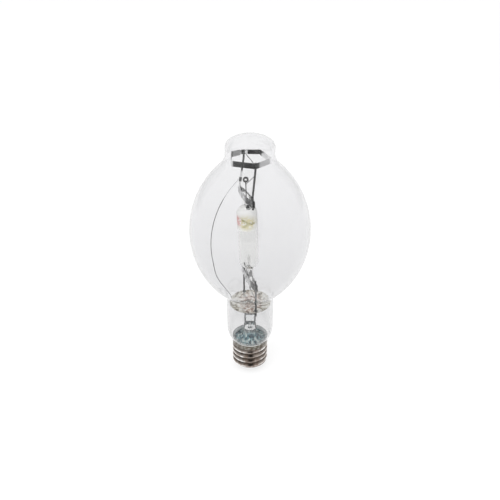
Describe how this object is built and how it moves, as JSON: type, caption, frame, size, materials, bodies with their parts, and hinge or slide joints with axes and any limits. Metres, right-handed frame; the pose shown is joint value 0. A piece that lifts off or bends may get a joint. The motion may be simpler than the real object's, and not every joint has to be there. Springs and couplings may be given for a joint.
{
  "type": "metal halide lamp",
  "caption": "Clear metal halide lamp with a bulged outer bulb, a quartz arc tube held in a wire frame, and a large screw cap.",
  "frame": {"origin": "centre of the lower face of the centre contact, on the lamp axis", "axes": "+Z runs along the lamp axis from the contact to the top of the dome, -Y is the side the picture is taken from, +X is to its right"},
  "size_m": [0.1226, 0.1226, 0.272],
  "materials": {
    "bulb_glass": "clear hard glass",
    "stem_glass": "tinted sealing glass",
    "quartz": "clear fused quartz",
    "coat": "matt white coat",
    "cap_metal": "nickel-plated, satin",
    "contact_metal": "satin",
    "solder": "dull solder",
    "insulator": "black glass, glossy",
    "cement": "baked cement",
    "frame_steel": "nickel-plated wire",
    "strap_steel": "dark spring strip",
    "lead_metal": "drawn wire",
    "tungsten": "dark tungsten",
    "foil": "molybdenum foil",
    "getter_powder": "pressed grey metal powder",
    "mica": "translucent mica"
  },
  "bodies": {
    "root": {"screw_shell": "cap_metal", "cap_insulator": "insulator", "centre_contact": "contact_metal", "contact_solder": "solder", "cap_cement": "cement", "outer_bulb": "bulb_glass", "stem_glass": "stem_glass", "contact_lead": "lead_metal", "shell_lead": "lead_metal", "lower_frame": "frame_steel", "heat_shield_disc": "mica", "disc_clips": "frame_steel", "lower_strap_right": "strap_steel", "lower_strap_left": "strap_steel", "arc_tube": "quartz", "upper_end_coat": "coat", "lower_electrode": "tungsten", "upper_electrode": "tungsten", "lower_foil": "foil", "upper_foil": "foil", "lower_outer_lead": "lead_metal", "upper_outer_lead": "lead_metal", "upper_strap_right": "strap_steel", "upper_strap_left": "strap_steel", "upper_rod_front": "frame_steel", "upper_rod_back": "frame_steel", "dome_band": "strap_steel", "dome_cross_wire": "lead_metal", "return_lead": "lead_metal", "rod_sleeve": "strap_steel", "ring_getter": "strap_steel", "getter_fill": "getter_powder", "lower_link": "lead_metal", "upper_link": "lead_metal"}
  },
  "joints": []
}
